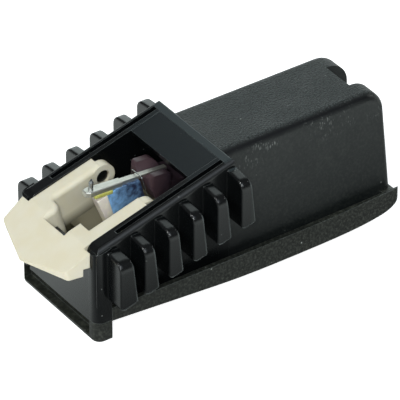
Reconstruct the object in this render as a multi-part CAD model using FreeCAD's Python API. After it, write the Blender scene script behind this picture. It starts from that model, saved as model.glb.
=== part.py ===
import FreeCAD, Part
import math
import os

os.makedirs("parts", exist_ok=True)

V = FreeCAD.Vector
UP = V(0, 0, 1)
ACROSS = V(0, 1, 0)
ALONG = V(1, 0, 0)

# Axes: X runs from the stylus end to the contact end, Y across, Z up with the stylus on top.
# While drawing, X = 0 is the front face of the corner posts and Z = 0 the table.

# Drawing aids
WAY = 40.0                  # reach of cutting tools, beyond the whole part
LAP = 0.20                  # overlap where pieces of one moulding are joined
CROWN_STEPS = 4
NEAR = 0.01                 # tolerance when edges are picked

# Grip and trough
DECK_TILT = 15.45           # slope of the rim and holder, parallel to the record in use
DECK_Z = 10.70              # deck plane above the table at X = 0
RIM_RISE = 0.61             # rim above the deck plane
RIM_HALF = 6.95             # half the width over the trough walls
RIM_EDGE_R = 0.60           # rounding of the outer rim edges
RIM_FRONT_R = 1.20          # front ends of the rims are rounded off
RIM_BACK_R = 0.30           # rear edge of the rear rim
RIM_LIFT = 0.03             # outline drawn this far over the rim
TROUGH_WALL = 1.74
TROUGH_DEPTH = 4.75         # deck plane to floor, square to the deck
FRONT_WALL = 1.00
PANEL_SET = 0.25            # front panel set back from the post faces
PANEL_TOP = 9.30            # front wall cut down for the holder's neck
SKIN = 1.00                 # floor, roof and bulkhead thickness of the mouldings
SHELF_DROP = 0.07           # rear shelf lies just under the rim
SHELF_T = 0.75
SHELF_X = 13.50             # front edge of the shelf, along the rim
REAR_RIM_T = 1.03           # rear rim, from the front of the last rib to the rear face of the trough
SLOT_WEB = 0.53             # wall left between trough and slot
SLOT_W = 0.56               # open slot along each side wall
SLOT_DEPTH = 1.60
SLOT_X = 3.60               # front end of the slots, along the deck
FLOOR_FLAT_X = 10.80        # the floor runs level behind this point
WINDOW_HALF = 2.50          # opening in the bulkhead for the elements
WINDOW_LOW = 9.50
WINDOW_HIGH = 12.60

# Finger ribs
RIB_COUNT = 6
RIB_X = 1.42
RIB_PITCH = 3.02
RIB_REACH = 2.71            # how far the ribs stand out from the trough walls
RIB_FOOT_Z = 4.93           # underside of the first rib
RIB_FALL = 0.30             # rib top falls this much from root to outer edge
RIB_TOP_T = 1.20
RIB_FOOT_T = 1.78
RIB_FIRST_MORE = 0.40       # the first rib is thicker than the others
RIB_ROOT = 0.60             # ribs are drawn this far into the trough wall
RIB_NOSE_R = 1.05
RIB_EDGE_R = 0.22
RIB_TOE_R = 0.45            # front corner of the foot
RIB_HEEL_R = 0.20
RIB_SOLE_GAP = 0.15         # trough underside below the first rib's foot
RIB_DROP = 0.05             # rib root below the deck plane

# Corner posts and cover
POST_HALF = 7.18
POST_LEN = 1.94
POST_WIDE = 1.38
POST_R = 1.00
POST_TOP = 0.25             # post tops above the deck plane
FAR_POST = 0.45             # post left beside the slot on the far side
SEAM_Z = 2.50               # parting line between cover and body
SEAM_GAP = 0.06             # groove seen on the posts
LIP_H = 0.45                # finger lip at the front
LIP_SET = 1.05              # wall behind the lip
TONGUE_Z = 2.00             # lower edge of the front panel
COVER_WALL = 0.85
COVER_BEVEL = 0.62          # inner top edge of the walls slopes away by this much
COVER_X = 0.90              # front end of the side walls
COVER_RISE_LEN = 9.00       # length over which the wall tops rise to the tail
FOOT_R = 0.30               # lower edges of the corner posts
COVER_DECK_Z = 3.92
COVER_TAIL_Z = 4.35
TAIL_OUT = 0.50             # the tail reaches this far behind the top of the rear block
TAIL_WALL = 1.50
TAIL_TOP = 3.55
TAIL_R = 0.60
BODY_GAP = 0.48             # shadow gap between the body and the cover wall
SLIP = 0.10                 # assembly clearance
CROWN = 1.02                # the cover is crowned across by this much at the belly
TAIL_LEAD = 0.30            # the belly turns up this far before the rear face
TAIL_FACE = 0.02
TAIL_OVER = 0.25            # belly drawn past the rear face
COVER_POCKET_X = (8.0, 32.0)
COVER_POCKET_HALF = 4.60
COVER_POCKET_Z = 1.30

# Rear block
BLOCK_TOP = 15.75
BLOCK_DRAFT = 4.75
BLOCK_REAR_X = 38.45
BLOCK_REAR_DRAFT = 2.6
BLOCK_TOP_R = 2.70          # rear edge of the top
BLOCK_SIDE_R = 1.10         # side and corner edges
NOTCH_HALF = 2.06
NOTCH_LEN = 2.70            # notch length at the top of the block
NOTCH_DEPTH = 4.15
NOTCH_R = 0.90
REAR_WALL = 4.55            # solid end that carries the notch and the contact well

# Stylus holder, drawn along the deck
ARM_RISE = 0.475            # arm tops above the deck plane
ARM_GAP = 0.06              # arm to trough wall
ARM_T = 1.65
ARM_END = 8.20
NOSE_X = -5.00              # blunt point of the nose
NOSE_CORNER_X = -3.03
NOSE_CORNER_HALF = 5.83
NOSE_WING_HALF = 6.30
NOSE_BEND_X = 0.35
NOSE_SLOPE = 0.242
NOSE_Z = 8.42               # level underside of the nose
NECK_STEP = 0.80
WING_GAP = 0.06
WING_END_X = 0.40
MOUTH_X = -0.27             # rear edge of the nose plate
MOUTH_TONGUE = 1.60         # the near arm widens by this much beside the mouth
MOUTH_STEP = 1.86
MOUTH_BULGE = 1.72          # rounded bulge beside the mouth on the far side
MOUTH_BULGE_X = 2.00        # rear end of the bulge
MOUTH_BULGE_R = 1.10
MOUTH_INNER_R = 0.40
MOUTH_ROLL_R = 0.55         # inner top edges are rolled off
NOSE_R = 0.50
HOLDER_FLOOR_T = 0.80
HOLDER_FLOOR_X = (3.00, 11.30)
EYE_X = 8.15
EYE_Z = -1.11
EYE_R = 1.47
EYE_HOLE_R = 0.79
EYE_T = 1.10
STUD_CLEAR = 0.06
STUD_SHORT = 0.25           # stud end stands this far inside the eye

# Stylus bar, drawn along its own length from the sleeve's rear end
BAR_X = 8.30                # sleeve end, along the deck
BAR_Z = 0.37                # height over the deck there
BAR_DIP = 19.0              # angle between bar and record
BAR_LEN = 5.65
BAR_T = 0.40
BAR_FRONT_W = 0.72
BAR_END_W = 0.52
SLEEVE_LEN = 4.45
SLEEVE_T = 0.55
SLEEVE_FRONT_W = 1.20
SLEEVE_REAR_W = 1.00
SLEEVE_NOSE = 0.45          # length of the tapered front end
SLEEVE_NOSE_W = 0.70
SLEEVE_EDGE = 0.08
SLEEVE_DEPTH = 1.00         # how far the bar goes into the sleeve
TIP_X = -3.65
SHANK_R = 0.26
SHANK_UP = 0.85
TIP_H = 0.45
TIP_POINT_R = 0.03

# Damper under the bar
DAMPER_HALF = 0.66
DAMPER_FRONT_X = 4.95
DAMPER_LEAN = 0.45          # foot of the front face set back from its top
DAMPER_JOIN_X = 6.22
DAMPER_REAR_X = 10.20
PAD_FRONT = -3.45
PAD_REAR = -1.25
PAD_T = 0.42
PAD_HALF = 0.64

# Coupler and elements, drawn along the bar
COUPLER_FRONT = 2.50
COUPLER_REAR = 5.30
COUPLER_HALF = 2.00
COUPLER_TOP = 0.80
COUPLER_CHIN = -0.40        # the front face leans back below this height
COUPLER_LEAN = 1.00
COUPLER_R = 0.50
COUPLER_REAR_R = 1.00
COUPLER_TAIL = 7.60
COUPLER_CASE = 0.18         # soft wall around the element ends
GROOVE_HALF = 1.25          # half width of the groove at its open top
SLOT_CLEAR = 0.03
ELEMENT_FRONT = 6.40
ELEMENT_LEN = 13.00
ELEMENT_W = 1.60
ELEMENT_T = 0.60
ELEMENT_Y = 0.90
ELEMENT_Z = -1.58
ELEMENT_TURN = 45.0
WIRE_R = 0.06
WIRE_HALF = 1.00
WIRE_BEND = 0.30
WIRE_GAP = 0.10             # wire behind the damper
WIRE_LIFT = 0.16            # free play of the bar under the wire
MOUNT_LEN = 2.80
MOUNT_SET = 1.80            # mount ends this far before the elements do
MOUNT_GAP = 0.73            # mount to the walls of the block
MOUNT_Z = 9.20

# Contacts
WELL_LOW = 5.00
WELL_HIGH = 9.20
BOARD_T = 1.00
BOARD_EDGE = 0.60           # board overlaps the well on every side
BOARD_GAP = 0.24            # board to the walls of the block
PIN_COUNT = 4
PIN_SIDE = 1.00             # outer pins to the sides of the well
PIN_R = 0.40
PIN_OUT = 3.20              # pin behind the board
PIN_DOME_R = 0.24
PIN_NECK_R = 0.24           # relief between pin and collar
PIN_NECK_LEN = 0.12
PIN_COLLAR_R = 0.62
PIN_COLLAR_T = 0.30
PIN_TAIL_R = 0.22           # tail through the board
PIN_IN = 0.90               # tail before the board
LEAD_R = 0.14

# Sizes that follow from the ones above
SIN_T = math.sin(math.radians(DECK_TILT))
COS_T = math.cos(math.radians(DECK_TILT))
TAN_T = SIN_T / COS_T
TROUGH_HALF = RIM_HALF - TROUGH_WALL
RIB_OUT = RIM_HALF + RIB_REACH
BULK_X = RIB_X + (RIB_COUNT - 1) * RIB_PITCH
RIM_REAR_X = BULK_X + REAR_RIM_T
COVER_IN = POST_HALF - COVER_WALL
BODY_HALF = COVER_IN - BODY_GAP
TAIL_X = BLOCK_REAR_X + TAIL_OUT
SIDE_SLOPE = math.tan(math.radians(BLOCK_DRAFT))
REAR_SLOPE = math.tan(math.radians(BLOCK_REAR_DRAFT))
BLOCK_TOP_HALF = BODY_HALF - (BLOCK_TOP - SEAM_Z) * SIDE_SLOPE
BLOCK_LOW_X = BLOCK_REAR_X + (BLOCK_TOP - SEAM_Z) * REAR_SLOPE
ARM_OUT = TROUGH_HALF - ARM_GAP
ARM_IN = ARM_OUT - ARM_T
MOUTH_NEAR = ARM_IN - MOUTH_TONGUE
MOUTH_FAR = ARM_IN - MOUTH_BULGE
SLOT_IN = TROUGH_HALF + SLOT_WEB
SHELF_TOP = RIM_RISE - SHELF_DROP
ROOF_Z = BLOCK_TOP - SKIN
CAVITY_REAR = BLOCK_REAR_X - REAR_WALL
WELL_Z = (WELL_LOW + WELL_HIGH) / 2
BOARD_TOP = WELL_HIGH + BOARD_EDGE
BOARD_HALF = BODY_HALF - SKIN - (BOARD_TOP - SEAM_Z) * SIDE_SLOPE - BOARD_GAP
WELL_HALF = BOARD_HALF - BOARD_EDGE
PIN_PITCH = 2 * (WELL_HALF - PIN_SIDE) / (PIN_COUNT - 1)
HOLDER_FLOOR_Z = HOLDER_FLOOR_T - TROUGH_DEPTH
POST_IN = POST_HALF - POST_WIDE
STUD_R = EYE_HOLE_R - STUD_CLEAR
NOTCH_X = BLOCK_REAR_X - NOTCH_LEN
NOTCH_Z = BLOCK_TOP - NOTCH_DEPTH
FLOOR_FLAT_Z = DECK_Z + FLOOR_FLAT_X * TAN_T - TROUGH_DEPTH / COS_T
BLOCK_END_Z = TAIL_TOP + SLIP
NOSE_TIP_WORLD = NOSE_X * COS_T - (ARM_RISE + NOSE_SLOPE * (NOSE_X - NOSE_BEND_X)) * SIN_T
END_WORLD = BLOCK_REAR_X + (BLOCK_TOP - BLOCK_END_Z) * REAR_SLOPE
SHIFT = V(-(NOSE_TIP_WORLD + max(END_WORLD, TAIL_X)) / 2, 0, 0)

# Lower outline of the cover: X, height of its middle line, share of the crown there
COVER_LINE = (
    (0.50, 1.70, 0.71),
    (6.65, 1.02, 0.92),
    (12.70, 0.48, 1.00),
    (18.06, 0.12, 1.00),
    (23.50, 0.014, 1.00),
    (28.95, 0.04, 1.00),
    (33.70, 0.30, 0.94),
    (36.20, 0.66, 0.90),
    (37.87, 1.30, 0.78),
    (TAIL_X - TAIL_LEAD, 2.15, 0.62),
    (TAIL_X - TAIL_FACE, 3.10, 0.51),
    (TAIL_X + TAIL_OVER, 4.70, 0.49),
)


def deck_z(x):
    """Height of the deck plane above the table."""
    return DECK_Z + x * TAN_T


def floor_z(x):
    """Height of the sloping trough floor."""
    return deck_z(x) - TROUGH_DEPTH / COS_T


def rim_z(x):
    """Height of the rim plane above the table."""
    return deck_z(x) + RIM_RISE / COS_T


def cavity_half(z):
    """Half the inner width of the rear block at a height."""
    return BODY_HALF - SKIN - (z - SEAM_Z) * SIDE_SLOPE


def rounded(points):
    """Closed wire through (a, b, radius) corners in the XY plane."""
    edges = []
    count = len(points)
    ends = []
    for i in range(count):
        p = V(points[i][0], points[i][1], 0)
        r = points[i][2] if len(points[i]) > 2 else 0.0
        before = (V(points[i - 1][0], points[i - 1][1], 0) - p).normalize()
        after_point = points[(i + 1) % count]
        after = (V(after_point[0], after_point[1], 0) - p).normalize()
        if r <= 0:
            ends.append((p, p, None))
            continue
        half = before.getAngle(after) / 2
        cut = r / math.tan(half)
        middle = (before + after).normalize()
        centre = p + middle * (r / math.sin(half))
        ends.append((p + before * cut, p + after * cut, centre - middle * r))
    for i in range(count):
        start, stop, mid = ends[i]
        if mid is not None:
            edges.append(Part.Arc(start, mid, stop).toShape())
        following = ends[(i + 1) % count][0]
        if stop.distanceToPoint(following) > 1e-7:
            edges.append(Part.LineSegment(stop, following).toShape())
    return Part.Wire(edges)


def prism_xy(points, z0, z1):
    """Plan outline raised from z0 to z1."""
    face = Part.Face(rounded(points))
    face.translate(V(0, 0, z0))
    return face.extrude(V(0, 0, z1 - z0))


def prism_xz(points, y0, y1):
    """Side outline carried across from y0 to y1."""
    face = Part.Face(rounded(points))
    face.rotate(V(0, 0, 0), ALONG, 90)
    face.translate(V(0, y0, 0))
    return face.extrude(V(0, y1 - y0, 0))


def prism_yz(points, x0, x1):
    """Cross-section carried along from x0 to x1."""
    face = Part.Face(rounded(points))
    face.rotate(V(0, 0, 0), V(1, 1, 1), 120)
    face.translate(V(x0, 0, 0))
    return face.extrude(V(x1 - x0, 0, 0))


def block(x0, x1, y0, y1, z0, z1):
    """Plain box between two corners."""
    return Part.makeBox(x1 - x0, y1 - y0, z1 - z0, V(x0, y0, z0))


def both_sides(shape):
    """A shape and its mirror image across the middle plane."""
    return [shape, shape.mirror(V(0, 0, 0), ACROSS)]


def on_deck(shape):
    """Turns a shape drawn along the deck into place."""
    placed = shape.copy()
    placed.translate(V(0, 0, DECK_Z))
    placed.rotate(V(0, 0, DECK_Z), ACROSS, -DECK_TILT)
    return placed


def on_bar(shape):
    """Turns a shape drawn along the stylus bar into place."""
    placed = shape.copy()
    placed.rotate(V(0, 0, 0), ACROSS, BAR_DIP)
    placed.translate(V(BAR_X, 0, BAR_Z))
    return on_deck(placed)


def point_on_bar(x, y, z):
    """World position of a point drawn along the stylus bar."""
    dip = math.radians(BAR_DIP)
    px = BAR_X + x * math.cos(dip) + z * math.sin(dip)
    pz = BAR_Z - x * math.sin(dip) + z * math.cos(dip)
    return V(px * COS_T - pz * SIN_T, y, DECK_Z + px * SIN_T + pz * COS_T)


def cover_pocket(low, x0, x1):
    """Space between the cover's side walls, with their inner top edges sloped away."""
    wide = COVER_IN + COVER_BEVEL
    bend = TAIL_TOP + SLIP
    return prism_yz(((-COVER_IN, low), (COVER_IN, low), (COVER_IN, bend), (wide, COVER_TAIL_Z),
                     (wide, WAY), (-wide, WAY), (-wide, COVER_TAIL_Z), (-COVER_IN, bend)), x0, x1)


def base_cover():
    """Boat-shaped cover with side walls, crowned belly, finger lip and corner posts."""
    wide = POST_HALF + COVER_WALL
    rows = []
    for x, middle, share in COVER_LINE:
        row = []
        for k in range(-CROWN_STEPS, CROWN_STEPS + 1):
            y = wide * k / CROWN_STEPS
            row.append(V(x, y, middle + CROWN * share * (y / POST_HALF) ** 2))
        rows.append(row)
    belly = Part.BSplineSurface()
    belly.interpolate(rows)
    below = belly.toShape().extrude(V(0, 0, -WAY))
    side = prism_xz(((COVER_X, -LAP), (TAIL_X, -LAP), (TAIL_X, COVER_TAIL_Z),
                     (TAIL_X - COVER_RISE_LEN, COVER_DECK_Z), (COVER_X, COVER_DECK_Z)), -wide, wide)
    plan = prism_xy(((COVER_X, -POST_HALF), (TAIL_X, -POST_HALF, TAIL_R), (TAIL_X, POST_HALF, TAIL_R),
                     (COVER_X, POST_HALF)), -LAP, COVER_TAIL_Z + LAP)
    cover = plan.cut(below).common(side)
    inside = TAIL_X - TAIL_WALL
    pocket = cover_pocket(SEAM_Z, LIP_SET - LAP, inside)
    rear_cut = cover_pocket(TAIL_TOP, inside - LAP, TAIL_X + LAP)
    well = block(COVER_POCKET_X[0], COVER_POCKET_X[1], -COVER_POCKET_HALF, COVER_POCKET_HALF,
                 COVER_POCKET_Z, SEAM_Z + LAP)
    front_cut = block(0, POST_LEN, -WAY, WAY, SEAM_Z - SEAM_GAP, WAY)
    cover = cover.cut(pocket).cut(rear_cut).cut(well).cut(front_cut)
    foot = prism_xy(((0, -POST_HALF, POST_R), (POST_LEN, -POST_HALF), (POST_LEN, POST_HALF),
                     (0, POST_HALF, POST_R)), 0, SEAM_Z - SEAM_GAP)
    soles = [e for e in foot.Edges if e.BoundBox.ZMax < LAP and e.BoundBox.XMin < POST_LEN - LAP]
    foot = foot.makeFillet(FOOT_R, soles)
    mouth = block(-LAP, LIP_SET, -POST_IN, POST_HALF - FAR_POST, LIP_H, SEAM_Z)
    return cover.fuse(foot.cut(mouth)).removeSplitter()


def finger_rib(index):
    """One finger rib, thicker at its foot, with a sloping rounded top and a foot parallel to the deck."""
    x = RIB_X + index * RIB_PITCH
    more = RIB_FIRST_MORE if index == 0 else 0.0
    foot = RIB_FOOT_Z + index * RIB_PITCH * TAN_T
    root = deck_z(x) - RIB_DROP
    inner = RIM_HALF - RIB_ROOT
    heel = x + RIB_FOOT_T + more
    heel_z = foot + (heel - x) * TAN_T
    front = prism_xz(((x, foot, RIB_TOE_R), (heel, heel_z, RIB_HEEL_R), (x + RIB_TOP_T + more, root),
                      (x, root)), inner, RIB_OUT)
    section = prism_yz(((inner, foot), (RIB_OUT, foot), (RIB_OUT, root - RIB_FALL, RIB_NOSE_R),
                        (RIM_HALF, root), (inner, root)), x - LAP, heel + LAP)
    rib = front.common(section)
    shoulder = root - RIB_FALL - RIB_NOSE_R
    edges = []
    for edge in rib.Edges:
        box = edge.BoundBox
        outside = box.YMin > RIB_OUT - NEAR
        if outside and box.ZMin < shoulder:
            edges.append(edge)
    return rib.makeFillet(RIB_EDGE_R, edges)


def rear_block():
    """Drafted block with a rounded rear and rounded side edges, joined to the trough."""
    front = RIM_REAR_X - 3 * LAP
    side = prism_xz(((front, SEAM_Z), (BLOCK_LOW_X, SEAM_Z), (BLOCK_REAR_X, BLOCK_TOP, BLOCK_TOP_R),
                     (front, BLOCK_TOP)), -WAY, WAY)
    section = prism_yz(((-BODY_HALF, SEAM_Z), (BODY_HALF, SEAM_Z), (BLOCK_TOP_HALF, BLOCK_TOP),
                        (-BLOCK_TOP_HALF, BLOCK_TOP)), front - LAP, BLOCK_LOW_X + LAP)
    body = side.common(section)
    edges = []
    for edge in body.Edges:
        box = edge.BoundBox
        crossing = box.YMin < 0 < box.YMax
        if not crossing and box.ZMax > SEAM_Z + LAP and box.XMax > front + LAP:
            edges.append(edge)
    return body.makeFillet(BLOCK_SIDE_R, edges)


def body_shell():
    """Grip trough with ribs and shelf, hollow rear block, studs, posts and contact well."""
    section = prism_yz(((-RIM_HALF, -WAY), (RIM_HALF, -WAY), (RIM_HALF, RIM_RISE, RIM_EDGE_R),
                        (-RIM_HALF, RIM_RISE, RIM_EDGE_R)), -WAY, WAY)
    foot = RIB_FOOT_Z - RIB_SOLE_GAP
    low_front = foot - (RIB_X - PANEL_SET) * TAN_T
    low_rear = foot + (RIM_REAR_X - RIB_X) * TAN_T
    outline = prism_xz(((PANEL_SET, low_front), (RIM_REAR_X, low_rear),
                        (RIM_REAR_X, rim_z(RIM_REAR_X) + RIM_LIFT, RIM_BACK_R),
                        (PANEL_SET, rim_z(PANEL_SET) + RIM_LIFT, RIM_FRONT_R)), -WAY, WAY)
    trough = on_deck(section).common(outline)
    lower = prism_xz(((PANEL_SET, SEAM_Z), (RIM_REAR_X, SEAM_Z), (RIM_REAR_X, low_rear + SKIN),
                      (PANEL_SET, low_front + SKIN)), -BODY_HALF, BODY_HALF)
    post = prism_xy(((0, POST_IN), (POST_LEN, POST_IN), (POST_LEN, POST_HALF), (0, POST_HALF, POST_R)),
                    SEAM_Z, WAY)
    post = post.common(on_deck(block(-WAY, WAY, -WAY, WAY, -WAY, POST_TOP)))
    solids = [lower, rear_block()] + both_sides(post)
    for index in range(RIB_COUNT):
        solids += both_sides(finger_rib(index))
    body = trough.multiFuse(solids)
    front = PANEL_SET + FRONT_WALL
    pocket = prism_xz(((front, floor_z(front)), (FLOOR_FLAT_X, FLOOR_FLAT_Z), (BULK_X, FLOOR_FLAT_Z),
                       (BULK_X, WAY), (front, WAY)), -TROUGH_HALF, TROUGH_HALF)
    neck = block(-WAY, front + LAP, -TROUGH_HALF, TROUGH_HALF, PANEL_TOP, WAY)
    under_rear = BULK_X - LAP
    ceiling = FLOOR_FLAT_Z - SKIN
    under = prism_xz(((front, 0), (under_rear, 0), (under_rear, ceiling), (FLOOR_FLAT_X, ceiling),
                      (front, floor_z(front) - SKIN)), -BODY_HALF + SKIN, BODY_HALF - SKIN)
    low = SEAM_Z - LAP
    cavity = prism_yz(((-cavity_half(low), low), (cavity_half(low), low), (cavity_half(ROOF_Z), ROOF_Z),
                       (-cavity_half(ROOF_Z), ROOF_Z)), RIM_REAR_X + LAP, CAVITY_REAR)
    window = block(BULK_X - LAP, RIM_REAR_X + 2 * LAP, -WINDOW_HALF, WINDOW_HALF, WINDOW_LOW, WINDOW_HIGH)
    notch = prism_yz(((-NOTCH_HALF, NOTCH_Z, NOTCH_R), (NOTCH_HALF, NOTCH_Z, NOTCH_R), (NOTCH_HALF, WAY),
                      (-NOTCH_HALF, WAY)), NOTCH_X, WAY + NOTCH_X)
    well = block(CAVITY_REAR - LAP, BLOCK_LOW_X + LAP, -WELL_HALF, WELL_HALF, WELL_LOW, WELL_HIGH)
    heel = block(TAIL_X - TAIL_WALL - SLIP, BLOCK_LOW_X + LAP, -WAY, WAY, 0, BLOCK_END_Z)
    slot = on_deck(block(SLOT_X, WAY, SLOT_IN, SLOT_IN + SLOT_W, RIM_RISE - SLOT_DEPTH, RIM_RISE + SKIN))
    slot = slot.common(block(0, BULK_X, -WAY, WAY, 0, WAY))
    for tool in [pocket, neck, under, cavity, window, notch, well, heel] + both_sides(slot):
        body = body.cut(tool)
    tongue = block(PANEL_SET, LIP_SET - 2 * SLIP, -POST_IN + SLIP, POST_IN - SLIP, TONGUE_Z, SEAM_Z + LAP)
    shelf_half = TROUGH_HALF + LAP
    shelf = on_deck(block(SHELF_X, WAY, -shelf_half, shelf_half, SHELF_TOP - SHELF_T, SHELF_TOP))
    shelf = shelf.common(block(0, BULK_X + LAP, -WAY, WAY, 0, WAY))
    stud_in = ARM_IN + STUD_SHORT
    stud = Part.makeCylinder(STUD_R, TROUGH_HALF + LAP - stud_in, V(EYE_X, stud_in, EYE_Z), ACROSS)
    extra = [tongue, shelf] + both_sides(on_deck(stud))
    return body.multiFuse(extra).removeSplitter()


def rolled_off(shape):
    """Rounds the top edges of the far arm and the bulge where they run into the mouth."""
    edges = []
    for edge in shape.Edges:
        box = edge.BoundBox
        inside = box.YMin > MOUTH_FAR - NEAR and box.YMax < ARM_IN + NEAR
        on_top = box.ZMin > ARM_RISE - NEAR
        if inside and on_top and box.XMin > NOSE_BEND_X - NEAR and box.XMax < ARM_END - NEAR:
            edges.append(edge)
    return shape.makeFillet(MOUTH_ROLL_R, edges)


def stylus_holder():
    """Wedge-nosed holder with two arms, eyes that snap over the studs and a floor for the damper."""
    front = PANEL_SET + FRONT_WALL
    drop = ARM_RISE + NOSE_SLOPE * (NOSE_X - SKIN - NOSE_BEND_X)
    profile = prism_xz(((NOSE_X - SKIN, -TROUGH_DEPTH), (ARM_END, -TROUGH_DEPTH), (ARM_END, ARM_RISE),
                        (NOSE_BEND_X, ARM_RISE), (NOSE_X - SKIN, drop)), -WAY, WAY)
    plan = prism_xy(((NOSE_X, 0, NOSE_R), (NOSE_CORNER_X, -NOSE_CORNER_HALF, NOSE_R),
                     (WING_END_X, -NOSE_WING_HALF), (WING_END_X, -ARM_OUT), (ARM_END, -ARM_OUT),
                     (ARM_END, ARM_OUT), (WING_END_X, ARM_OUT), (WING_END_X, NOSE_WING_HALF),
                     (NOSE_CORNER_X, NOSE_CORNER_HALF, NOSE_R)), -WAY, WAY)
    mouth = prism_xy(((MOUTH_X, MOUTH_FAR), (MOUTH_X, -MOUTH_NEAR), (MOUTH_STEP, -MOUTH_NEAR),
                      (MOUTH_STEP, -ARM_IN), (ARM_END + LAP, -ARM_IN), (ARM_END + LAP, ARM_IN),
                      (MOUTH_BULGE_X, ARM_IN, MOUTH_INNER_R), (MOUTH_BULGE_X, MOUTH_FAR, MOUTH_BULGE_R)),
                     -WAY, WAY)
    floor = block(HOLDER_FLOOR_X[0], HOLDER_FLOOR_X[1], -ARM_IN - LAP, ARM_IN + LAP,
                  -TROUGH_DEPTH, HOLDER_FLOOR_Z)
    eye = Part.makeCylinder(EYE_R, EYE_T, V(EYE_X, ARM_IN, EYE_Z), ACROSS)
    hole = Part.makeCylinder(EYE_HOLE_R, WAY, V(EYE_X, 0, EYE_Z), ACROSS)
    shape = on_deck(rolled_off(profile.common(plan).cut(mouth)))
    shape = shape.multiFuse([on_deck(floor)] + [on_deck(s) for s in both_sides(eye)])
    for tool in both_sides(hole):
        shape = shape.cut(on_deck(tool))
    under_nose = block(-WAY, front + SLIP, -WAY, WAY, 0, NOSE_Z)
    under_neck = block(-NECK_STEP, front + SLIP, -WAY, WAY, 0, PANEL_TOP)
    behind_wing = block(-WING_GAP, POST_LEN, ARM_OUT, WAY, 0, WAY)
    level = block(FLOOR_FLAT_X, WAY, -WAY, WAY, 0, FLOOR_FLAT_Z)
    for tool in [under_nose, under_neck, level] + both_sides(behind_wing):
        shape = shape.cut(tool)
    return shape.removeSplitter()


def stylus_bar():
    """Flat tapering bar from the sleeve to the coupler."""
    front = BAR_FRONT_W / 2
    rear = BAR_END_W / 2
    bar = prism_xy(((-SLEEVE_DEPTH, -front), (0, -front), (BAR_LEN, -rear), (BAR_LEN, rear), (0, front),
                    (-SLEEVE_DEPTH, front)), -BAR_T / 2, BAR_T / 2)
    return on_bar(bar)


def bar_sleeve():
    """Flattened sleeve that carries the stylus, with a narrowed front end."""
    front = SLEEVE_FRONT_W / 2
    rear = SLEEVE_REAR_W / 2
    nose = SLEEVE_NOSE_W / 2
    neck = SLEEVE_NOSE - SLEEVE_LEN
    high = SLEEVE_T / 2
    body = prism_xy(((-SLEEVE_LEN, -nose), (neck, -front), (0, -rear), (0, rear), (neck, front),
                     (-SLEEVE_LEN, nose)), -high, high)
    edges = [e for e in body.Edges if e.BoundBox.ZMin > high - NEAR and e.BoundBox.XMin < -NEAR]
    body = body.makeChamfer(SLEEVE_EDGE, edges)
    half = BAR_FRONT_W / 2
    socket = block(-SLEEVE_DEPTH, LAP, -half, half, -BAR_T / 2, BAR_T / 2)
    hole = Part.makeCylinder(SHANK_R, 2 * SLEEVE_T, V(TIP_X, 0, -SLEEVE_T), UP)
    return on_bar(body.cut(socket).cut(hole))


def stylus_shank():
    """Round shank set through the sleeve."""
    return on_bar(Part.makeCylinder(SHANK_R, SLEEVE_T + SHANK_UP, V(TIP_X, 0, -SLEEVE_T / 2), UP))


def stylus_tip():
    """Conical playing tip on the shank."""
    low = SLEEVE_T / 2 + SHANK_UP
    return on_bar(Part.makeCone(SHANK_R, TIP_POINT_R, TIP_H, V(TIP_X, 0, low), UP))


def above_damper():
    """Space that the pad, sleeve and bar take over the damper."""
    sole = -SLEEVE_T / 2
    pad = block(-WAY, PAD_REAR, -WAY, WAY, sole - PAD_T, WAY)
    sleeve = block(PAD_REAR - LAP, 0, -WAY, WAY, sole, WAY)
    bar = block(-LAP, WAY, -WAY, WAY, -BAR_T / 2, WAY)
    return on_bar(pad.multiFuse([sleeve, bar]))


def damper(front, rear, lean):
    """Soft block between the holder floor and the bar, its front face leaning forward at the top."""
    side = prism_xz(((front + lean, HOLDER_FLOOR_Z), (rear, HOLDER_FLOOR_Z), (rear, BAR_Z), (front, BAR_Z)),
                    -DAMPER_HALF, DAMPER_HALF)
    return on_deck(side).cut(above_damper())


def bearing_pad():
    """Soft strip that bonds the sleeve to the damper."""
    high = -SLEEVE_T / 2
    return on_bar(block(PAD_FRONT, PAD_REAR, -PAD_HALF, PAD_HALF, high - PAD_T, high))


def retaining_wire():
    """Fine staple over the bar, its legs standing on the holder floor behind the damper."""
    dip = math.radians(BAR_DIP)
    x = DAMPER_REAR_X + WIRE_GAP + WIRE_R
    bar_top = BAR_Z - (x - BAR_X) * math.tan(dip) + BAR_T / 2 / math.cos(dip)
    top = bar_top + WIRE_LIFT + WIRE_R
    flat = WIRE_HALF - WIRE_BEND
    knee = top - WIRE_BEND
    slant = WIRE_BEND * math.sqrt(0.5)
    left = [V(x, -WIRE_HALF, HOLDER_FLOOR_Z), V(x, -WIRE_HALF, knee), V(x, -flat - slant, knee + slant),
            V(x, -flat, top)]
    right = [V(x, -p.y, p.z) for p in left]
    path = Part.Wire([
        Part.LineSegment(left[0], left[1]).toShape(),
        Part.Arc(left[1], left[2], left[3]).toShape(),
        Part.LineSegment(left[3], right[3]).toShape(),
        Part.Arc(right[3], right[2], right[1]).toShape(),
        Part.LineSegment(right[1], right[0]).toShape(),
    ])
    ring = Part.Wire([Part.Circle(left[0], UP, WIRE_R).toShape()])
    return on_deck(path.makePipeShell([ring], True, True))


def element(side):
    """Flat ceramic strip, turned to one of the two groove directions."""
    strip = block(ELEMENT_FRONT, ELEMENT_FRONT + ELEMENT_LEN, -ELEMENT_W / 2, ELEMENT_W / 2,
                  -ELEMENT_T / 2, ELEMENT_T / 2)
    strip.rotate(V(0, 0, 0), ALONG, ELEMENT_TURN * side)
    strip.translate(V(0, ELEMENT_Y * side, ELEMENT_Z))
    return on_bar(strip)


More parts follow.
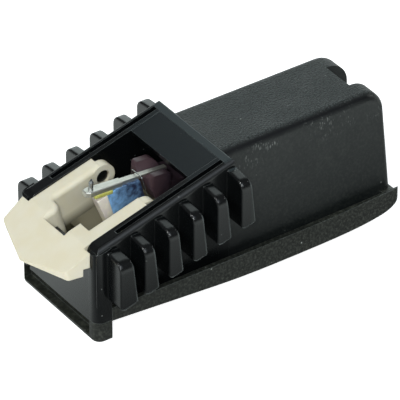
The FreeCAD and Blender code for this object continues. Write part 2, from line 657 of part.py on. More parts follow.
def coupler(elements):
    """Soft yoke: the bar lies in its open groove, and its tail holds the two elements."""
    reach = (ELEMENT_W + ELEMENT_T) / 2 * math.sin(math.radians(ELEMENT_TURN)) + COUPLER_CASE
    low = ELEMENT_Z - reach
    half = ELEMENT_Y + reach
    profile = prism_xz(((COUPLER_FRONT, COUPLER_CHIN), (COUPLER_FRONT + COUPLER_LEAN, low, COUPLER_R),
                        (COUPLER_REAR, low), (COUPLER_REAR, COUPLER_TOP, COUPLER_REAR_R),
                        (COUPLER_FRONT, COUPLER_TOP, COUPLER_R)), -COUPLER_HALF, COUPLER_HALF)
    plan = prism_xy(((COUPLER_FRONT, -COUPLER_HALF, COUPLER_R), (COUPLER_REAR, -COUPLER_HALF, COUPLER_R),
                     (COUPLER_REAR, COUPLER_HALF, COUPLER_R), (COUPLER_FRONT, COUPLER_HALF, COUPLER_R)),
                    -WAY, WAY)
    tail = block(COUPLER_REAR - COUPLER_R, COUPLER_TAIL, -half, half, low, ELEMENT_Z + reach)
    share = (BAR_LEN - COUPLER_FRONT) / BAR_LEN
    inner = (BAR_END_W + (BAR_FRONT_W - BAR_END_W) * share) / 2 + SLOT_CLEAR
    groove = prism_yz(((-inner, -BAR_T / 2), (inner, -BAR_T / 2), (inner, 0), (GROOVE_HALF, COUPLER_TOP),
                       (GROOVE_HALF, WAY), (-GROOVE_HALF, WAY), (-GROOVE_HALF, COUPLER_TOP), (-inner, 0)),
                      COUPLER_FRONT - LAP, COUPLER_REAR + LAP)
    body = on_bar(profile.common(plan).fuse(tail).cut(groove))
    for strip in elements:
        body = body.cut(strip)
    return body


def element_mount(elements):
    """Rubber block under the roof of the rear block that clamps the elements."""
    rear = point_on_bar(ELEMENT_FRONT + ELEMENT_LEN, 0, ELEMENT_Z).x - MOUNT_SET
    half = cavity_half(ROOF_Z) - MOUNT_GAP
    body = block(rear - MOUNT_LEN, rear, -half, half, MOUNT_Z, ROOF_Z)
    for strip in elements:
        body = body.cut(strip)
    return body


def pin_places():
    """Y positions of the contact pins."""
    return [(i - (PIN_COUNT - 1) / 2.0) * PIN_PITCH for i in range(PIN_COUNT)]


def contact_board():
    """Insulating board across the well with a hole for each pin."""
    front = CAVITY_REAR - BOARD_T
    body = block(front, CAVITY_REAR, -BOARD_HALF, BOARD_HALF, WELL_LOW - BOARD_EDGE, BOARD_TOP)
    for y in pin_places():
        body = body.cut(Part.makeCylinder(PIN_TAIL_R, 2 * BOARD_T, V(front - LAP, y, WELL_Z), ALONG))
    return body


def contact_pin(y):
    """Turned contact pin: tail through the board, collar, relief and a round pin with a domed end."""
    front = CAVITY_REAR - BOARD_T - PIN_IN
    shoulder = CAVITY_REAR + PIN_COLLAR_T
    start = shoulder + PIN_NECK_LEN
    pin = Part.makeCylinder(PIN_R, CAVITY_REAR + PIN_OUT - start, V(start, y, WELL_Z), ALONG)
    ends = [e for e in pin.Edges if e.BoundBox.XMin > start + PIN_R]
    pin = pin.makeFillet(PIN_DOME_R, ends)
    tail = Part.makeCylinder(PIN_TAIL_R, CAVITY_REAR - front, V(front, y, WELL_Z), ALONG)
    collar = Part.makeCylinder(PIN_COLLAR_R, PIN_COLLAR_T, V(CAVITY_REAR, y, WELL_Z), ALONG)
    neck = Part.makeCylinder(PIN_NECK_R, PIN_NECK_LEN, V(shoulder, y, WELL_Z), ALONG)
    return pin.multiFuse([tail, collar, neck]).removeSplitter()


def lead(index, y):
    """Fine lead from one face of an element to a contact pin."""
    side = -1 if index < PIN_COUNT / 2 else 1
    reach = ELEMENT_W / 4 * (-1 if index % 2 == 0 else 1)
    turn = math.radians(ELEMENT_TURN) * side
    start = point_on_bar(ELEMENT_FRONT + ELEMENT_LEN, side * ELEMENT_Y + reach * math.cos(turn),
                         ELEMENT_Z + reach * math.sin(turn))
    stop = V(CAVITY_REAR - BOARD_T - PIN_IN, y, WELL_Z)
    span = (stop.x - start.x) / 3
    curve = Part.BezierCurve()
    curve.setPoles([start, start + V(span, 0, 0), stop - V(span, 0, 0), stop])
    path = Part.Wire([curve.toShape()])
    ring = Part.Wire([Part.Circle(start, ALONG, LEAD_R).toShape()])
    return path.makePipeShell([ring], True, True)


def main():
    left = element(1)
    right = element(-1)
    parts = {
        "base_cover": base_cover(),
        "body_shell": body_shell(),
        "stylus_holder": stylus_holder(),
        "stylus_bar": stylus_bar(),
        "bar_sleeve": bar_sleeve(),
        "stylus_shank": stylus_shank(),
        "stylus_tip": stylus_tip(),
        "damper_front": damper(DAMPER_FRONT_X, DAMPER_JOIN_X, DAMPER_LEAN),
        "damper_block": damper(DAMPER_JOIN_X, DAMPER_REAR_X, 0),
        "bearing_pad": bearing_pad(),
        "retaining_wire": retaining_wire(),
        "coupler": coupler([left, right]),
        "element_left": left,
        "element_right": right,
        "element_mount": element_mount([left, right]),
        "contact_board": contact_board(),
    }
    for index, y in enumerate(pin_places()):
        parts["contact_pin_%d" % (index + 1)] = contact_pin(y)
        parts["lead_%d" % (index + 1)] = lead(index, y)
    for name, shape in parts.items():
        if shape.ShapeType != "Solid" and len(shape.Solids) == 1:
            shape = shape.Solids[0]
        shape.translate(SHIFT)
        print(name, shape.ShapeType, len(shape.Solids), shape.isValid(), round(shape.Volume, 3))
        shape.exportStep("parts/%s.step" % name)
    pivot = point_on_bar(0, 0, -SLEEVE_T / 2) + SHIFT
    normal = point_on_bar(0, 0, 1) - point_on_bar(0, 0, 0)
    print("shift", round(SHIFT.x, 4), "pivot", pivot, "normal", normal)
    print("pins", [round(y, 3) for y in pin_places()], "board", CAVITY_REAR + SHIFT.x, WELL_Z)


main()
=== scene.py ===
import math
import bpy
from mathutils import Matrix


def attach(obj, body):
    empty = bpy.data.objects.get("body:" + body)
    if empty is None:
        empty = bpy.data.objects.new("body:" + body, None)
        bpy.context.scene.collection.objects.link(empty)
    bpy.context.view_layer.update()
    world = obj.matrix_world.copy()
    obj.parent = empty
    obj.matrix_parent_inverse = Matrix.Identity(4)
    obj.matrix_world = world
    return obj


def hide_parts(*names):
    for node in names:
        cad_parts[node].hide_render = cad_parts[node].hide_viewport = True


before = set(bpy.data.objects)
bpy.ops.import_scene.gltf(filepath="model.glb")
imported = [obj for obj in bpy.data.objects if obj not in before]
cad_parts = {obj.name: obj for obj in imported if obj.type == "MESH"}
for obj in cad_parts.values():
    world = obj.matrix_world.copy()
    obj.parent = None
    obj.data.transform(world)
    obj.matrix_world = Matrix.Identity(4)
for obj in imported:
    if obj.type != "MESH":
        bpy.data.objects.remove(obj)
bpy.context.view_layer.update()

from types import SimpleNamespace

import bmesh
import bpy
from bpy.props import FloatProperty, FloatVectorProperty, PointerProperty
from mathutils import Vector

bl_info = {
    "name": "Pickup Head Looks",
    "version": (1, 0, 0),
    "blender": (4, 5, 0),
    "location": "View3D > Sidebar > Pickup",
    "description": "Surfaces, soft pieces, light and camera for a ceramic pickup head and its stylus",
    "category": "Object",
}

MM = 0.001
SMOOTH_UNDER = math.radians(32)     # edges that turn less than this are shaded smooth
FLAT_UNDER = math.radians(0.8)      # faces that turn less than this are one
MERGE_UNDER = 0.001 * MM            # points nearer than this are one

# Places on the body and the holder.
GRIP_END = 0.35 * MM                # rear face of the grip
RIM_FRONT = GRIP_END - 1.03 * MM    # front edge of the grip's rear rim
SHELF_FRONT = -4.6 * MM             # front edge of the shelf
TROUGH_HALF = 6.3 * MM              # half of the trough's width
GRIP_HALF = 7.3 * MM                # half of the grip's width, without the ribs
RIB_EDGE = 9.3 * MM                 # outer edges of the ribs lie beyond this
CRISP = 0.05 * MM                   # width of a sharp change of finish
DECK_NORMAL = (-0.2664, 0.0, 0.9639)
DECK_LEVEL = 14.895 * MM            # distance of the deck plane from the origin

# Masks by place: none at the first value, full at the second.
BEHIND_GRIP = (GRIP_END, GRIP_END + 0.2 * MM)
# On the lower walls the grip's darker colour runs on gradually: painted shade.
BEHIND_GRIP_LOW = (GRIP_END - 2 * MM, GRIP_END + 7 * MM)
LOWER_WALLS = (7 * MM, 5 * MM)
SCUFFED = (12.2 * MM, 14.4 * MM)
PAINTED_LIGHT_ON_SHELF = (SHELF_FRONT - 0.1 * MM, SHELF_FRONT)
PAINTED_HIGHLIGHT_ON_REAR_RIM = (RIM_FRONT - CRISP, RIM_FRONT)
IN_TROUGH = (TROUGH_HALF, TROUGH_HALF - CRISP)
WITHIN_RIBS = (GRIP_HALF, GRIP_HALF - CRISP)
ON_RIB_EDGE = (RIB_EDGE, RIB_EDGE + 0.1 * MM)
PAINTED_SHADE_IN_HOLDER = (DECK_LEVEL - 2.6 * MM, DECK_LEVEL - 4.1 * MM)

# Masks by the way a face leans, in the same form.
LEVEL = (0.80, 0.96)                # up
FACING_UP = (0.3, 0.6)              # up
STRIP_STARTS = (0.22, 0.70)         # sideways
STRIP_STOPS = (0.999, 0.74)         # sideways
STRIP_HIGH = (0.12, 0.40)           # up
STRIP_CORNER = (0.40, 0.10)         # to the rear
WORN_ROUND = (0.10, 0.28)           # sideways times up
RUBBED = (0.98, 0.82)               # cosine between a face and its rounded edge
RIB_WEAR_AND_HIGHLIGHT = (0.14, 0.36)             # a rib's rounded edge, sideways times rear or down: a pale line, part edge wear and part painted highlight

# Parts of a pattern that count, in the same form.
MIDDLE = (0.3, 0.7)
SPECK_DOT = (0.20, 0.10)            # distance from the middle of a cell, in cells
PORE_RIM = (0.05, 0.30)             # the same
COARSE = (0.34, 0.66)
FILMED = (0.45, 0.75)
DUSTY = (0.45, 0.70)
CLUSTERED = (0.46, 0.60)
SCRATCHED = (0.58, 0.68)
PATCHED = (0.35, 0.65)
STREAKED = (0.30, 0.60)

# Light colours.
COOL = (0.96, 1.0, 0.99)
BLUISH = (0.80, 0.90, 1.0)
SEA = (0.88, 1.0, 0.99)
SHEET = (0.92, 1.0, 0.98)

# Each light is named for the setting of its power: offset from the head's middle and side, in m, and colour.
LIGHTS = {
    "key": ((-0.24, -0.03, 0.27), 0.07, COOL),
    "front": ((-0.19, -0.24, 0.20), 0.06, COOL),
    "fill": ((-0.03, -0.28, 0.30), 0.24, BLUISH),
    "kicker": ((0.31, -0.06, 0.14), 0.03, COOL),
    "backdrop": ((0.22, 0.40, 0.085), 0.25, SEA),
    "panel": ((0.24, 0.29, 0.23), 0.32, SEA),
}
HEAD_MIDDLE = Vector((2.2257, 0.0, 7.875)) * MM
PICTURE_LEFT = 1.1865 * MM          # the picture's centre, left of the head's middle
PICTURE_DOWN = 1.2495 * MM          # and below it
FLOOR_HALF = 0.6
FLOOR_DROP = 0.02 * MM              # keeps the floor clear of the part's lowest faces
SHADE_Y = -12.5 * MM                # the sheet that glossy surfaces mirror is darkest along this line: a painted shadow of the head
SHADE_REACH = (2 * MM, 17.5 * MM)
SHADE_LEVELS = (0.17, 0.92)


def linear(code):
    """Linear colour of a hex sRGB code."""
    parts = [int(code[i:i + 2], 16) / 255 for i in (1, 3, 5)]
    return tuple(c / 12.92 if c <= 0.04045 else ((c + 0.055) / 1.055) ** 2.4 for c in parts)


def opaque(colour):
    """A colour with full alpha, as shader sockets take it."""
    return (*colour, 1.0)


def scaled(colour, *factors):
    """A colour made lighter or darker, by one factor or by one for each channel."""
    if len(factors) == 1:
        factors = factors * 3
    return tuple(min(1.0, c * f) for c, f in zip(colour, factors))


def colour_setting(name, code, description):
    """A colour that a user would change."""
    return FloatVectorProperty(
        name=name, description=description, subtype="COLOR", size=3,
        min=0.0, max=1.0, default=linear(code),
    )


def length_setting(name, millimetres, description):
    """A length that a user would change."""
    return FloatProperty(
        name=name, description=description, unit="LENGTH", precision=6,
        min=0.0, default=millimetres * MM,
    )


def power_setting(name, watts, description):
    """The power of a light."""
    return FloatProperty(name=name, description=description, unit="POWER", default=watts)


def strength_setting(name, strength, description):
    """The strength of light that a surface or the sky gives by itself."""
    return FloatProperty(name=name, description=description, default=strength)


def angle_setting(name, degrees, description):
    """An angle that a user would change."""
    return FloatProperty(
        name=name, description=description, subtype="ANGLE", default=math.radians(degrees),
    )


class ShellLook(bpy.types.PropertyGroup):
    """Black mouldings"""
    body: colour_setting("Body", "#131717", "Black plastic of the body")
    grip: colour_setting("Grip", "#0A0C0D", "Smooth black of the grip")
    # Painted light: the level tops of the shelf and the rear rim are painted lighter and bluer than the
    # grip.
    shelf: colour_setting("Shelf", "#151B1E", "Finely dusted top of the shelf")
    rim: colour_setting("Rear rim", "#31383A", "Dusty top of the grip's rear rim")
    cover: colour_setting("Cover", "#191B17", "Black plastic of the base cover")
    # Painted shade: the strip colour darkens the rounded top edges of the rear block.
    strip: colour_setting("Strip", "#0C0E10", "Polished strip along the top edges of the rear block")
    # The pale edge colour is edge wear, and on the grip's upper edges and the ribs' rear and lower edges
    # partly painted highlight.
    pale_edge_wear_and_highlight: colour_setting("Flash", "#7C8482", "Pale line where a moulded edge was rubbed")
    film: colour_setting("Dust film", "#5A5D54", "Thin film of dust on the mouldings")
    speck: colour_setting("Specks", "#A9AEA9", "Dust specks")
    edge: length_setting("Edge round", 0.09, "Radius of the moulded edges")
    rib_edge: length_setting("Rib edge round", 0.40, "Radius of the ribs' edges")
    grain: length_setting("Grain", 0.21, "Size of the spark-eroded grain")


class HolderLook(bpy.types.PropertyGroup):
    """Cream stylus holder"""
    colour: colour_setting("Holder", "#E1DAC6", "Cream plastic of the holder")
    # Painted shade: the cream darkens to this colour deep inside the holder.
    shade: colour_setting("Deep shade", "#4C4733", "Cream plastic deep inside, yellowed and dusty")
    edge: length_setting("Edge round", 0.14, "Radius of the holder's edges")


class SoftLook(bpy.types.PropertyGroup):
    """Soft blocks and coupler"""
    white: colour_setting("White block", "#FAF1D8", "White silicone under the sleeve")
    lilac: colour_setting("White block tint", "#E4D9D2", "Lilac tint in the white silicone")
    blue: colour_setting("Blue block", "#8EC0F2", "Blue silicone at the front and low down")
    # Painted shade: the blue block darkens to this colour towards its upper rear, under the bar.
    blue_painted_shade: colour_setting("Blue block, dark", "#2B334C", "Blue silicone towards the upper rear")
    yellow: colour_setting("Yellow pad", "#D0CF74", "Yellow pad at the bearing")
    olive: colour_setting("Yellow pad, dark", "#B9B65A", "Duller yellow of the pad")
    # The coupler runs from the rose of its lit front to dark maroon under the shelf: painted light and shade
    # of one rubber.
    rose: colour_setting("Coupler, dusty", "#453438", "Dusty front of the coupler")
    maroon: colour_setting("Coupler, dark", "#2A2127", "Dark maroon of the coupler under the shelf")
    grey: colour_setting("Element mount", "#55595A", "Grey rubber round the elements")
    soot: colour_setting("Element mount, dark", "#3C4041", "Darker patches of the grey rubber")
    edge: length_setting("Edge round", 0.16, "Radius of the soft edges")


class MetalLook(bpy.types.PropertyGroup):
    """Bar, stylus, wire and contacts"""
    bar: colour_setting("Bar", "#DCDBD3", "Drawn aluminium of bar and sleeve")
    shank: colour_setting("Shank", "#A3A6A8", "Ground steel of the shank")
    jewel: colour_setting("Jewel", "#D9DDE0", "Clear stone of the tip")
    wire: colour_setting("Wire", "#D8DADA", "Drawn steel wire")
    pin: colour_setting("Pins", "#D9B96B", "Plated contact pins")
    lead: colour_setting("Leads", "#C98558", "Copper leads")
    ceramic: colour_setting("Elements", "#C9BFA8", "Fired ceramic of the elements")
    board: colour_setting("Board", "#5C3A22", "Paper laminate of the contact board")


class StageLook(bpy.types.PropertyGroup):
    """Light and camera"""
    key: power_setting("Key light", 0.57, "Power of the key light")
    front: power_setting("Front light", 0.54, "Power of the light by the camera")
    fill: power_setting("Fill light", 0.42, "Power of the fill light")
    kicker: power_setting("Kicker", 0.06, "Power of the light behind")
    panel: power_setting("Back panel", 0.34, "Power of the back panel")
    backdrop: power_setting("Backdrop", 0.17, "Power of the low sheet behind")
    sky: strength_setting("Sky", 0.10, "Strength of the light from all round")
    lift: strength_setting("Floor lift", 0.8, "Own light of the floor, for the camera only")
    glow: strength_setting("Floor glow", 0.25, "Own light of the floor on matt surfaces")
    floor: colour_setting("Floor", "#F4F4F4", "Pale floor")
    azimuth: angle_setting("Azimuth", -35.05, "Camera angle round the head")
    elevation: angle_setting("Elevation", 35.0, "Camera angle above the floor")
    distance: length_setting("Distance", 472.5, "Camera distance")
    width: length_setting("Picture width", 42.0, "Width of the picture at the head")


def feed(tree, node, sockets):
    """Sets a node's inputs to values, or links them to other nodes' outputs."""
    for key, value in sockets.items():
        if isinstance(value, bpy.types.NodeSocket):
            tree.links.new(value, node.inputs[key])
        else:
            node.inputs[key].default_value = value


def add(tree, kind, sockets=None, **settings):
    """Adds a shader node; sockets takes values or links, settings the node's own options."""
    node = tree.nodes.new("ShaderNode" + kind)
    for key, value in settings.items():
        setattr(node, key, value)
    feed(tree, node, sockets or {})
    return node


def begin(name, colour, sockets):
    """A new material with its Principled shader and the object coordinates."""
    material = bpy.data.materials.new(name)
    material.use_nodes = True
    tree = material.node_tree
    tree.nodes.clear()
    shader = add(tree, "BsdfPrincipled", {"Base Color": opaque(colour), **sockets})
    add(tree, "OutputMaterial", {"Surface": shader.outputs["BSDF"]})
    place = add(tree, "TexCoord").outputs["Object"]
    return material, tree, shader, place


def fade(tree, value, start, stop, low=0.0, high=1.0):
    """Runs from low to high while a value runs from start to stop, and holds beyond them."""
    return add(tree, "MapRange", {0: value, 1: start, 2: stop, 3: low, 4: high}).outputs[0]


def between(tree, share, low, high):
    """Runs from low to high while a share runs from 0 to 1."""
    return fade(tree, share, 0.0, 1.0, low, high)


def reckon(tree, operation, first, second=0.0):
    """One step of arithmetic with two values."""
    return add(tree, "Math", {0: first, 1: second}, operation=operation).outputs[0]


def product(tree, first, *others):
    """The product of several values."""
    for other in others:
        first = reckon(tree, "MULTIPLY", first, other)
    return first


def mix_values(tree, share, first, second):
    """Runs from the first value to the second."""
    return add(tree, "Mix", {0: share, 2: first, 3: second}, data_type="FLOAT").outputs[0]


def blend(tree, share, first, second):
    """Runs from the first colour to the second; each is a colour or a socket."""
    first, second = [c if isinstance(c, bpy.types.NodeSocket) else opaque(c) for c in (first, second)]
    return add(tree, "Mix", {0: share, 6: first, 7: second}, data_type="RGBA").outputs[2]


def noise(tree, place, size, detail=2.0, roughness=0.5):
    """A cloudy pattern with features of about the given size."""
    sockets = {"Vector": place, "Scale": 1 / size, "Detail": detail, "Roughness": roughness}
    return add(tree, "TexNoise", sockets).outputs["Fac"]


def stretched(tree, place, scale):
    """Coordinates that draw a pattern out along the axes with a small scale."""
    return add(tree, "Mapping", {"Vector": place, "Scale": scale}).outputs[0]


def split(tree, vector):
    """The X, Y and Z outputs of a vector."""
    return add(tree, "SeparateXYZ", {0: vector}).outputs


def dot(tree, first, second):
    """The dot product of two vectors."""
    return add(tree, "VectorMath", {0: first, 1: second}, operation="DOT_PRODUCT").outputs["Value"]


def rounded_normal(tree, radius, samples=4):
    """A normal that turns gradually over sharp edges."""
    return add(tree, "Bevel", {"Radius": radius}, samples=samples).outputs[0]


def relief(tree, height, depth, strength, **sockets):
    """A normal with fine relief."""
    sockets.update(Height=height, Distance=depth, Strength=strength)
    return add(tree, "Bump", sockets).outputs[0]


def begin_black(name, colour, look, film_share):
    """Starts a black moulding: what the body and the cover share, for finish_black to put together."""
    material, tree, shader, place = begin(name, colour, {"IOR": 1.54})
    facing = add(tree, "NewGeometry").outputs
    grain = noise(tree, place, look.grain)
    cloud = noise(tree, place, 3.0 * MM, detail=3.0)
    mottle = noise(tree, place, 0.30 * MM, detail=4.0, roughness=0.65)
    film = fade(tree, mottle, *FILMED, high=film_share)
    # Specks: one small dot in some of the cells, more of them in dusty patches.
    cells = add(tree, "TexVoronoi", {"Vector": place, "Scale": 1 / (0.55 * MM)}).outputs
    near = fade(tree, cells["Distance"], *SPECK_DOT)
    draw = add(tree, "SeparateColor", {"Color": cells["Color"]}).outputs
    patch = noise(tree, place, 5.0 * MM, detail=1.0)
    chosen = reckon(tree, "GREATER_THAN", draw["Red"], fade(tree, patch, *DUSTY, low=0.985, high=0.86))
    # A rubbed edge is where the rounded normal leaves the face's own normal.
    rounded = rounded_normal(tree, look.edge)
    along = dot(tree, rounded, facing["True Normal"])
    return SimpleNamespace(
        material=material, tree=tree, shader=shader, place=place, look=look, colour=colour,
        lean=split(tree, facing["Normal"]), grain=grain, cloud=cloud, normal=rounded,
        tone=blend(tree, film, colour, look.film),
        speck=product(tree, near, chosen, draw["Green"]),
        edge=fade(tree, along, *RUBBED, high=0.9),
        rough=fade(tree, cloud, *MIDDLE, low=0.36, high=0.50),
        height=reckon(tree, "MULTIPLY", grain, 0.35),
    )


def finish_black(black):
    """Puts pale edges (edge wear; on the body's grip partly painted highlight) and specks on a black
    moulding and feeds its shader.
    """
    tree, look = black.tree, black.look
    rubbed = blend(tree, product(tree, black.edge, black.cloud), black.tone, look.pale_edge_wear_and_highlight)
    feed(tree, black.shader, {
        "Base Color": blend(tree, black.speck, rubbed, look.speck),
        "Roughness": black.rough,
        "Normal": relief(tree, black.height, 0.07 * MM, 0.9, Normal=black.normal),
    })
    return black.material


def find_zones(black):
    """Masks for the body's rear block, level faces, walls and polished strips."""
    tree, lean = black.tree, black.lean
    spot = split(tree, black.place)
    # The finish changes at the end of the grip, and gradually on the lower walls, where the grip's darker
    # colour runs on as painted shade low on the rear block's sides.
    low = fade(tree, spot["Z"], *LOWER_WALLS)
    step = fade(tree, spot["X"], *BEHIND_GRIP)
    rear = mix_values(tree, low, step, fade(tree, spot["X"], *BEHIND_GRIP_LOW))
    level = fade(tree, lean["Z"], *LEVEL)
    outward = reckon(tree, "ABSOLUTE", spot["Y"])
    sideways = reckon(tree, "ABSOLUTE", lean["Y"])
    # A strip is the rounded edge between top and side, high on the rear block; its darker colour is painted
    # shade.
    strip = product(
        tree, fade(tree, sideways, *STRIP_STARTS), fade(tree, sideways, *STRIP_STOPS),
        fade(tree, lean["Z"], *STRIP_HIGH), rear, fade(tree, lean["X"], *STRIP_CORNER),
    )
    return SimpleNamespace(
        spot=spot, rear=rear, level=level, outward=outward, sideways=sideways, strip=strip,
        walls=fade(tree, outward, *WITHIN_RIBS), grained=product(tree, rear, level),
    )


def colour_body(black, zone):
    """Smooth grip; painted light on the level tops of the shelf and rear rim; spark-eroded top of the rear
    block; painted shade on the strips.
    """
    tree, look = black.tree, black.look
    along = zone.spot["X"]
    inside = fade(tree, zone.outward, *IN_TROUGH)
    # Painted light on the shelf's level top and painted highlight on the rear rim's level top.
    shelf = product(tree, fade(tree, along, *PAINTED_LIGHT_ON_SHELF), zone.level, inside)
    painted_rim_highlight = product(tree, fade(tree, along, *PAINTED_HIGHLIGHT_ON_REAR_RIM), zone.level, zone.walls)
    grip = blend(tree, painted_rim_highlight, blend(tree, shelf, look.grip, look.shelf), look.rim)
    coarse = fade(tree, black.grain, *COARSE)
    eroded = blend(tree, coarse, scaled(black.colour, 0.20), scaled(black.colour, 4.40))
    tone = blend(tree, zone.grained, blend(tree, zone.rear, grip, black.tone), eroded)
    # Painted shade: the strips take the dark strip colour.
    black.tone = blend(tree, zone.strip, tone, look.strip)
    black.height = product(tree, coarse, between(tree, zone.grained, 0.015, 1.0))


def dust_body(black, zone):
    """Fewer specks on the grip and none on the strips; pale scratches under the block's top edges."""
    tree, place = black.tree, black.place
    clean = between(tree, zone.strip, 1.0, 0.0)
    swept = product(tree, black.speck, between(tree, zone.rear, 0.25, 0.9), clean)
    cluster = fade(tree, noise(tree, place, 2.0 * MM, detail=1.0), *CLUSTERED)
    upright = stretched(tree, place, (1.0, 1.0, 0.35))
    scratch = fade(tree, noise(tree, upright, 0.16 * MM, detail=1.0), *SCRATCHED, high=0.30)
    plain = between(tree, reckon(tree, "MAXIMUM", zone.level, zone.strip), 1.0, 0.0)
    scuffs = product(tree, fade(tree, zone.spot["Z"], *SCUFFED), zone.rear, cluster, scratch, plain)
    black.speck = reckon(tree, "MAXIMUM", swept, scuffs)


def rub_body(black, zone):
    """Fuller rounds on the ribs; the grip is pale only on upper edges and the ribs' rear and lower edges,
    partly edge wear and partly painted highlight.
    """
    tree, look = black.tree, black.look
    slim = reckon(tree, "MAXIMUM", zone.walls, zone.rear)
    black.normal = rounded_normal(tree, between(tree, slim, look.rib_edge, look.edge), samples=6)
    turn = split(tree, black.normal)
    up = reckon(tree, "MAXIMUM", fade(tree, black.lean["Z"], *FACING_UP), zone.rear)
    down = reckon(tree, "MULTIPLY", turn["Z"], -1.0)
    across = reckon(tree, "ABSOLUTE", turn["Y"])
    turned = product(tree, reckon(tree, "MAXIMUM", turn["X"], down), across)
    # Painted highlight with edge wear: a pale line along the ribs' rear and lower rounded edges.
    line = product(tree, fade(tree, turned, *RIB_WEAR_AND_HIGHLIGHT, high=0.8), fade(tree, zone.outward, *ON_RIB_EDGE))
    black.edge = reckon(tree, "MAXIMUM", product(tree, black.edge, up), line)


def polish_body(black, zone):
    """Glossy grip with worn top edges, satin rear block, polished strips."""
    tree = black.tree
    rough = reckon(tree, "MINIMUM", black.rough, between(tree, zone.rear, 0.22, 1.0))
    rough = reckon(tree, "MINIMUM", rough, between(tree, zone.strip, 0.6, 0.28))
    worn = fade(tree, product(tree, zone.sideways, black.lean["Z"]), *WORN_ROUND, high=0.42)
    worn = product(tree, worn, zone.walls, between(tree, zone.rear, 1.0, 0.0))
    black.rough = reckon(tree, "MAXIMUM", rough, worn)


def moulded_body(look):
    """Black body, smooth on its grip and spark-eroded on top of its rear block."""
    black = begin_black("black_abs_spark_eroded", look.body, look, film_share=0.15)
    zone = find_zones(black)
    colour_body(black, zone)
    dust_body(black, zone)
    rub_body(black, zone)
    polish_body(black, zone)
    return finish_black(black)


def moulded_cover(look):
    """Black cover, satin and dustier than the body."""
    return finish_black(begin_black("black_abs_satin_moulded", look.cover, look, film_share=0.55))


def moulded_cream(look):
    """Cream moulding: smooth, slightly translucent, with painted shade that darkens it deep inside."""
    colour = look.colour
    material, tree, shader, place = begin("cream_abs_moulded", colour, {
        "IOR": 1.53, "Subsurface Weight": 0.12, "Subsurface Scale": 1.0,
        "Subsurface Radius": (0.7 * MM, 0.55 * MM, 0.3 * MM),
    })
    patch = fade(tree, noise(tree, place, 2.2 * MM, detail=4.0), *PATCHED)
    tone = blend(tree, patch, scaled(colour, 0.97, 0.95, 0.89), colour)
    # Painted shade: darker with depth below the deck plane.
    deep = fade(tree, dot(tree, place, DECK_NORMAL), *PAINTED_SHADE_IN_HOLDER)
    fine = noise(tree, place, 0.25 * MM, detail=3.0)
    feed(tree, shader, {
        "Base Color": blend(tree, deep, tone, look.shade),
        "Roughness": fade(tree, fine, *MIDDLE, low=0.36, high=0.50),
        "Normal": relief(tree, fine, 0.004 * MM, 0.25, Normal=rounded_normal(tree, look.edge)),
    })
    return material


def drawn_metal(name, colour, roughness, pitch):
    """Drawn metal: bright and satin, with fine lines along the length and a few duller patches."""
    material, tree, shader, place = begin(name, colour, {"Metallic": 1.0})
    lines = noise(tree, stretched(tree, place, (0.06, 1.0, 1.0)), pitch)
    streak = fade(tree, lines, *STREAKED)
    feed(tree, shader, {
        "Base Color": blend(tree, streak, scaled(colour, 0.86), colour),
        "Roughness": fade(tree, lines, *MIDDLE, low=1.2 * roughness, high=0.9 * roughness),
        "Normal": relief(tree, lines, 0.002 * MM, 0.1),
    })
    return material


def polished_stone(name, colour):
    """Clear polished stone with a faint cloud."""
    material, tree, shader, place = begin(name, colour, {"IOR": 1.77, "Transmission Weight": 0.92})
    cloud = noise(tree, place, 0.3 * MM)
    feed(tree, shader, {"Roughness": fade(tree, cloud, *MIDDLE, low=0.02, high=0.10)})
    return material


def soft_rubber(name, light, dark, run, mottle, size, seep, roughness):
    """Soft rubber: light seeps in, and the colour runs from light to dark, mottled on the way.

    Run is a direction and the two distances along it, in mm, where the colour is light and dark.
    """
    material, tree, shader, place = begin(name, light, {
        "IOR": 1.43, "Roughness": roughness, "Subsurface Weight": seep, "Subsurface Scale": 1.0,
        "Subsurface Radius": (0.6 * MM, 0.5 * MM, 0.5 * MM),
    })
    direction, start, stop = run
    share = fade(tree, dot(tree, place, direction), start * MM, stop * MM)
    waver = fade(tree, noise(tree, place, size, detail=3.0), *MIDDLE, low=-mottle, high=mottle)
    mixed = add(tree, "Math", {0: share, 1: waver}, operation="ADD", use_clamp=True).outputs[0]
    feed(tree, shader, {
        "Base Color": blend(tree, mixed, light, dark),
        "Normal": relief(tree, noise(tree, place, 0.18 * MM), 0.010 * MM, 0.35),
    })
    return material


def fired_ceramic(name, colour):
    """Fired ceramic: matt, with fine dark pores."""
    material, tree, shader, place = begin(name, colour, {"IOR": 1.65, "Roughness": 0.6})
    pores = add(tree, "TexVoronoi", {"Vector": place, "Scale": 1 / (0.12 * MM)}).outputs["Distance"]
    tone = blend(tree, fade(tree, pores, *PORE_RIM), scaled(colour, 0.55), colour)
    feed(tree, shader, {"Base Color": tone})
    return material


def pressed_laminate(name, colour):
    """Pressed paper laminate: brown, with fine fibres across it."""
    material, tree, shader, place = begin(name, colour, {"IOR": 1.55, "Roughness": 0.5})
    fibre = noise(tree, stretched(tree, place, (1.0, 0.15, 1.0)), 0.1 * MM, detail=3.0)
    share = fade(tree, fibre, *MIDDLE)
    feed(tree, shader, {
        "Base Color": blend(tree, share, scaled(colour, 0.7), scaled(colour, 1.35)),
        "Normal": relief(tree, fibre, 0.01 * MM, 0.3),
    })
    return material


def shade(mesh, material):
    """Gives a mesh its one material, smooth over its rounds."""
    mesh.materials.clear()
    mesh.materials.append(material)
    mesh.shade_smooth()
    mesh.set_sharp_from_angle(angle=SMOOTH_UNDER)


def dress(node, material):
    """Gives a CAD node its material."""
    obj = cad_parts.get(node)
    if obj is None:
        raise RuntimeError("the packed model has no node " + node)
    shade(obj.data, material)


